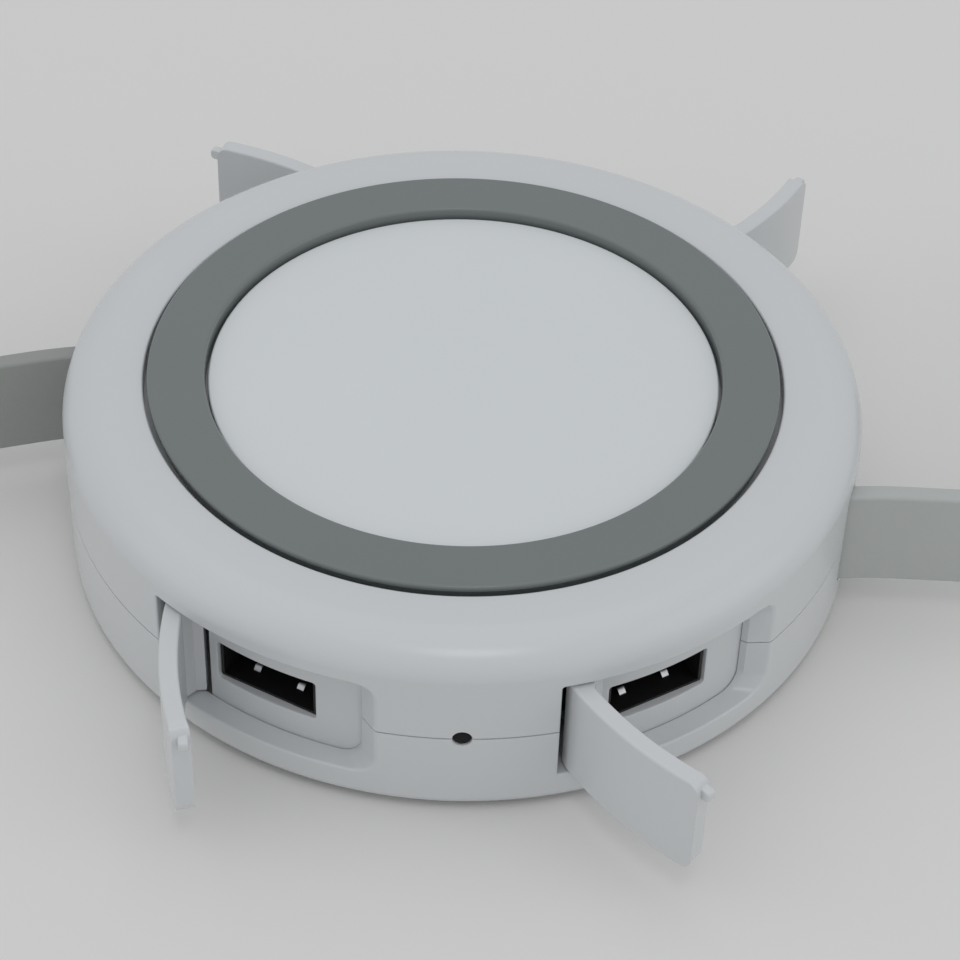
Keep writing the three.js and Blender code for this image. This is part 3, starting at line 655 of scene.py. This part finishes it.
def top_shell():
    low = SHELL_LOW.z
    outline = [(WALL_INNER_R, low), (BODY_R - PARTING_EDGE, low)]
    outline += [(BODY_R - PARTING_STEP, low + PARTING_STEP), (BODY_R, low + PARTING_EDGE)]
    outline += wall_points(low + PARTING_EDGE, SHOULDER_Z, BODY_R)
    outline += arc(SHOULDER_R, SHOULDER_Z, BODY_R - SHOULDER_R, TOP_Z - SHOULDER_Z, 0, 90, 24)
    outline += arc(WELL_R + WELL_EDGE, TOP_Z - WELL_EDGE, WELL_EDGE, WELL_EDGE, 90, 180, 4)
    outline += [(WELL_R, SHELF_TOP_Z), (SHELF_INNER_R, SHELF_TOP_Z), (SHELF_INNER_R, SHELF_LOW_Z)]
    outline += [(45, SHELF_LOW_Z), (WALL_INNER_R, SHELF_LOW_Z - 0.8)]
    shell = piece("upper_shell", *turned(outline), None, None)
    cut_sides(shell)
    finish_piece(shell, "gloss_white", "root", ["top_shell"])


def bottom_shell():
    high = BASE_HIGH.z
    outline = [(PAD_R, FLOOR_LOW_Z), (PAD_R, BASE_LOW.z)]
    outline += arc(BASE_ROUND_R, BASE_ROUND_Z, BODY_R - BASE_ROUND_R, BASE_ROUND_Z - BASE_LOW.z, -90, 0, 14)
    outline += wall_points(BASE_ROUND_Z, high - PARTING_EDGE, BODY_R)
    outline += [(BODY_R, high - PARTING_EDGE), (BODY_R - PARTING_STEP, high - PARTING_STEP)]
    outline.append((BODY_R - PARTING_EDGE, high))
    outline += [(WALL_INNER_R, high), (WALL_INNER_R, FLOOR_TOP_Z + 1.2), (46, FLOOR_TOP_Z)]
    outline += [(0.001, FLOOR_TOP_Z), (0.001, FLOOR_LOW_Z)]
    shell = piece("lower_shell", *turned(outline), None, None)
    cut_sides(shell)
    finish_piece(shell, "gloss_white", "root", ["bottom_shell"])


top_shell()
bottom_shell()


# ---- charging face ----
def grip_ring():
    low, high = RING_LOW.z, RING_HIGH.z
    lip = high - RING_LIP
    outline = rounded(
        [(RING_INNER_R, low, 0), (RING_R - RING_UNDERCUT, low, 0), (RING_R - RING_UNDERCUT, lip, 0),
         (RING_R, lip, 0.1), (RING_R, high, 0.35), (RING_INNER_R, high, 0.45)], 8)
    piece("grip_ring_rubber", *turned(outline), "grey_rubber", "root", ["grip_ring"], sharp=50)


def centre_disc():
    low, high = DISC_LOW.z + 1, DISC_HIGH.z
    outline = rounded([(0.001, low, 0), (DISC_R, low, 0), (DISC_R, high, 0.25), (0.001, high, 0)], 4)
    piece("charging_disc", *turned(outline), "satin_white", "root", ["centre_disc"])


grip_ring()
centre_disc()


# ---- ports ----
def curved_plate(inner_r, outer_r, low_x, high_x, low_z, high_z, edge, columns):
    """A plate that follows the body's curve, with its front edges rounded."""
    rings = []
    for i in range(columns + 1):
        x = low_x + (high_x - low_x) * i / columns
        section = rounded(
            [(inner_r, low_z, 0), (outer_r, low_z, edge), (outer_r, high_z, edge), (inner_r, high_z, 0)], 3)
        rings.append([(x, -math.sqrt(r**2 - x**2), z) for r, z in section])
    return stacked(rings)


def port_bezel(name, azimuth):
    low, high = box_mm(f"port_bezel_{name}")
    points, faces = curved_plate(
        BEZEL_BACK_R, PLATE_FACE_R, BEZEL_HINGE_X, BEZEL_END_X, low.z, high.z, EDGE, 44)
    plate = piece(f"port_plate_{name}", turned_about_z(points, azimuth), faces, None, None)
    mouth = rectangle(-MOUTH_W / 2, MOUTH_W / 2, PORT_Z - MOUTH_H / 2, PORT_Z + MOUTH_H / 2, 0.4)
    mouth = divided(mouth, CUTTER_STEP)
    rings = []
    for radius, lip in ((40, 0), (PLATE_FACE_R - 0.3, 0), (PLATE_FACE_R - 0.09, 0.09),
                        (PLATE_FACE_R, 0.3), (PLATE_FACE_R + 1, 0.32)):
        ring = [(x, -math.sqrt(radius**2 - x**2), z) for x, z in inset(mouth, -lip)]
        rings.append(turned_about_z(ring, azimuth))
    rings.append(turned_about_z([(x, -BODY_R - CUTTER_REACH, z) for x, _, z in ring], azimuth))
    combine(plate, [piece("mouth_cutter", *stacked(rings), None, None)])
    finish_piece(plate, "gloss_white", "root", [f"port_bezel_{name}"])


# ---- doors ----
def door_plan():
    """The door seen from above, closed, anticlockwise, in the port's own axes."""
    start = math.asin(PIVOT_X / PIVOT_R)
    outer_to = math.asin(DOOR_END_X / BODY_R)
    pivot = Vector((PIVOT_X, PIVOT_Y))
    inward = Vector((-math.sin(start), math.cos(start)))
    sideways = Vector((math.cos(start), math.sin(start)))
    steps = 40
    outline = []
    for k in range(13):
        angle = start + math.pi + math.pi / 2 * k / 12
        outline.append(tuple(pivot + KNUCKLE_R * Vector((math.cos(angle), math.sin(angle)))))
    for k in range(1, steps + 1):
        angle = start + (outer_to - start) * k / steps
        outline.append((BODY_R * math.sin(angle), -BODY_R * math.cos(angle)))
    for k in range(steps, 0, -1):
        angle = start + 0.035 + (outer_to - start - 0.035) * k / steps
        outline.append((DOOR_INNER_R * math.sin(angle), -DOOR_INNER_R * math.cos(angle)))
    outline.append(tuple(pivot + inward * (KNUCKLE_R + 0.3) + sideways * (HEEL_THICKNESS / 2 + 0.3)))
    outline.append(tuple(pivot + inward * HEEL_REACH + sideways * HEEL_THICKNESS / 2))
    outline.append(tuple(pivot + inward * HEEL_REACH - sideways * HEEL_THICKNESS / 2))
    return outline


def corner_cut(z):
    """How far the door's free end stands back at a height, for its rounded corners."""
    depth = max(DOOR_LOW_Z + DOOR_CORNER - z, z - DOOR_HIGH_Z + DOOR_CORNER, 0)
    depth = min(depth, DOOR_CORNER - 0.001)
    return DOOR_CORNER - math.sqrt(DOOR_CORNER**2 - depth**2)


def door_levels():
    levels = []
    for k in range(5):
        angle = math.pi / 2 * k / 4
        levels.append((DOOR_LOW_Z + EDGE * (1 - math.cos(angle)), EDGE * (1 - math.sin(angle))))
    depth_steps = [DOOR_CORNER * f for f in (0.22, 0.32, 0.45, 0.6, 0.75, 0.9, 1)]
    levels += [(DOOR_LOW_Z + d, 0) for d in depth_steps]
    return levels + [(DOOR_LOW_Z + DOOR_HIGH_Z - z, cut) for z, cut in reversed(levels)]


def place_door(points, name):
    """Points of the closed door, in the port's axes, swung open and turned to the port."""
    pivot = Vector((PIVOT_X, PIVOT_Y, 0))
    swing = Matrix.Rotation(math.radians(-DOOR_OPENINGS[name]), 3, "Z")
    swung = [pivot + swing @ (Vector(p) - pivot) for p in points]
    return turned_about_z(swung, PORT_AZIMUTHS[name])


def port_door(name):
    plan = door_plan()
    from_x = DOOR_END_X - CORNER_REACH
    rings = []
    for z, cut in door_levels():
        back = corner_cut(z)
        ring = []
        for x, y in inset(plan, cut):
            if x > from_x:
                radius = math.hypot(x, y)
                x = from_x + (x - from_x) * (1 - back / CORNER_REACH)
                y = -math.sqrt(radius**2 - x**2)
            ring.append((x, y, z))
        rings.append(ring)
    points, faces = stacked(rings)
    points = place_door(points, name)
    door = piece(f"door_panel_{name}", points, faces, None, None)
    tab_y = -DOOR_INNER_R * math.cos(math.asin(DOOR_END_X / BODY_R))
    tab_high = DOOR_HIGH_Z - TAB_DROP
    tab = rectangle(
        DOOR_END_X - 2, DOOR_END_X + TAB_REACH, tab_high - TAB_HEIGHT, tab_high, TAB_CORNER, 5)
    rings = []
    for y, cut in edge_levels(tab_y - 1.5, tab_y - 0.3, 0.2, 3):
        rings.append([(x, y, z) for x, z in inset(tab, cut)])
    points, faces = stacked(rings)
    tab_piece = piece("tab", place_door(points, name), faces, None, None)
    combine(door, [tab_piece], "UNION")
    finish_piece(door, "gloss_white", f"door_{name}", [f"door_{name}"])


def indicator_window():
    """The dark light pipe, slightly domed, just inside its hole."""
    stations = ((-44, 0.8), (-48.5, 0.8), (-48.6, 1.1), (-49.55, 1.1), (-49.68, 1), (-49.75, 0.6))
    rings = front_rings(stations, 40)
    piece("indicator_window", *stacked(rings), "dark_lens", "root", ["indicator_lens"])


def strips(places, width, profile):
    """(points, faces) of equal strips side by side, each a (y, z) profile at an x."""
    points = []
    faces = []
    for x in places:
        rings = [[(x + side * width / 2, y, z) for y, z in profile] for side in (-1, 1)]
        strip_points, strip_faces = stacked(rings)
        start = len(points)
        points += strip_points
        faces += [tuple(start + k for k in face) for face in strip_faces]
    return points, faces


def socket_springs(name, azimuth):
    """The two spring tabs of the sleeve's floor, bent up where they grip a plug."""
    floor_z = PORT_Z - SOCKET_H / 2 + SOCKET_WALL
    top = [(-44, 0.14), (-43.6, 0.55), (-43.35, 0.68), (-43.1, 0.55), (-42.6, 0.12)]
    profile = [(y, floor_z + z) for y, z in top]
    profile += [(y, floor_z + (z - 0.09)) for y, z in reversed(top)]
    points, faces = strips((-SPRING_X, SPRING_X), SPRING_W, profile)
    piece(f"usb_springs_{name}", turned_about_z(points, azimuth), faces, "steel", "root")


def socket_contacts(name, azimuth):
    """Four gold contact strips under the tongue, with their front ends bent up and showing."""
    front, back = TONGUE_FRONT_Y, TONGUE_FRONT_Y + 9
    profile = [(front - 0.15, PORT_Z + 0.55), (front - 0.15, PORT_Z - 0.08),
               (front + 0.3, PORT_Z - 0.22), (back, PORT_Z - 0.22),
               (back, PORT_Z - 0.02), (front + 0.2, PORT_Z - 0.02),
               (front + 0.02, PORT_Z + 0.05), (front + 0.02, PORT_Z + 0.55)]
    points, faces = strips(CONTACT_XS, CONTACT_W, profile)
    piece(f"usb_contacts_{name}", turned_about_z(points, azimuth), faces, "brass", "root")


for port_name, port_azimuth in PORT_AZIMUTHS.items():
    port_bezel(port_name, port_azimuth)
    socket_contacts(port_name, port_azimuth)
    socket_springs(port_name, port_azimuth)
    port_door(port_name)
indicator_window()


# ---- floor, light ----
def area_light(name, place, aim, size, power, colour=(1, 1, 1)):
    data = bpy.data.lights.new(name, "AREA")
    data.shape = "DISK"
    data.size = size
    data.energy = power
    data.color = colour
    light = bpy.data.objects.new(name, data)
    bpy.context.scene.collection.objects.link(light)
    light.location = place
    light.rotation_euler = (Vector(aim) - Vector(place)).to_track_quat("-Z", "Y").to_euler()


def stage():
    half = 3
    floor = piece("floor", [(-half / MM, -half / MM, 0), (half / MM, -half / MM, 0),
                            (half / MM, half / MM, 0), (-half / MM, half / MM, 0)],
                  [(0, 1, 2, 3)], None, None)
    floor.data.materials.append(
        shader("floor", (0.78, 0.775, 0.75), 0.85, shift=0.01, bump=0.02, mottle=4))
    world = bpy.data.worlds.new("world")
    bpy.context.scene.world = world
    world.use_nodes = True
    world.node_tree.nodes["Background"].inputs["Color"].default_value = (0.95, 0.97, 1, 1)
    world.node_tree.nodes["Background"].inputs["Strength"].default_value = 0.6
    area_light("top", (-0.1, 0.15, 1.1), (0, 0, 0), 1.2, 1.2)
    area_light("front", (0.05, -0.5, 1.18), (0, 0, 0), 0.35, 0.85)
    area_light("right", (0.95, -0.3, 0.65), (0, 0, 0), 1, 1.0)
    area_light("left", (-0.95, -0.2, 0.7), (0, 0, 0), 1, 0.65)
    bpy.context.scene.view_settings.view_transform = "Standard"


stage()
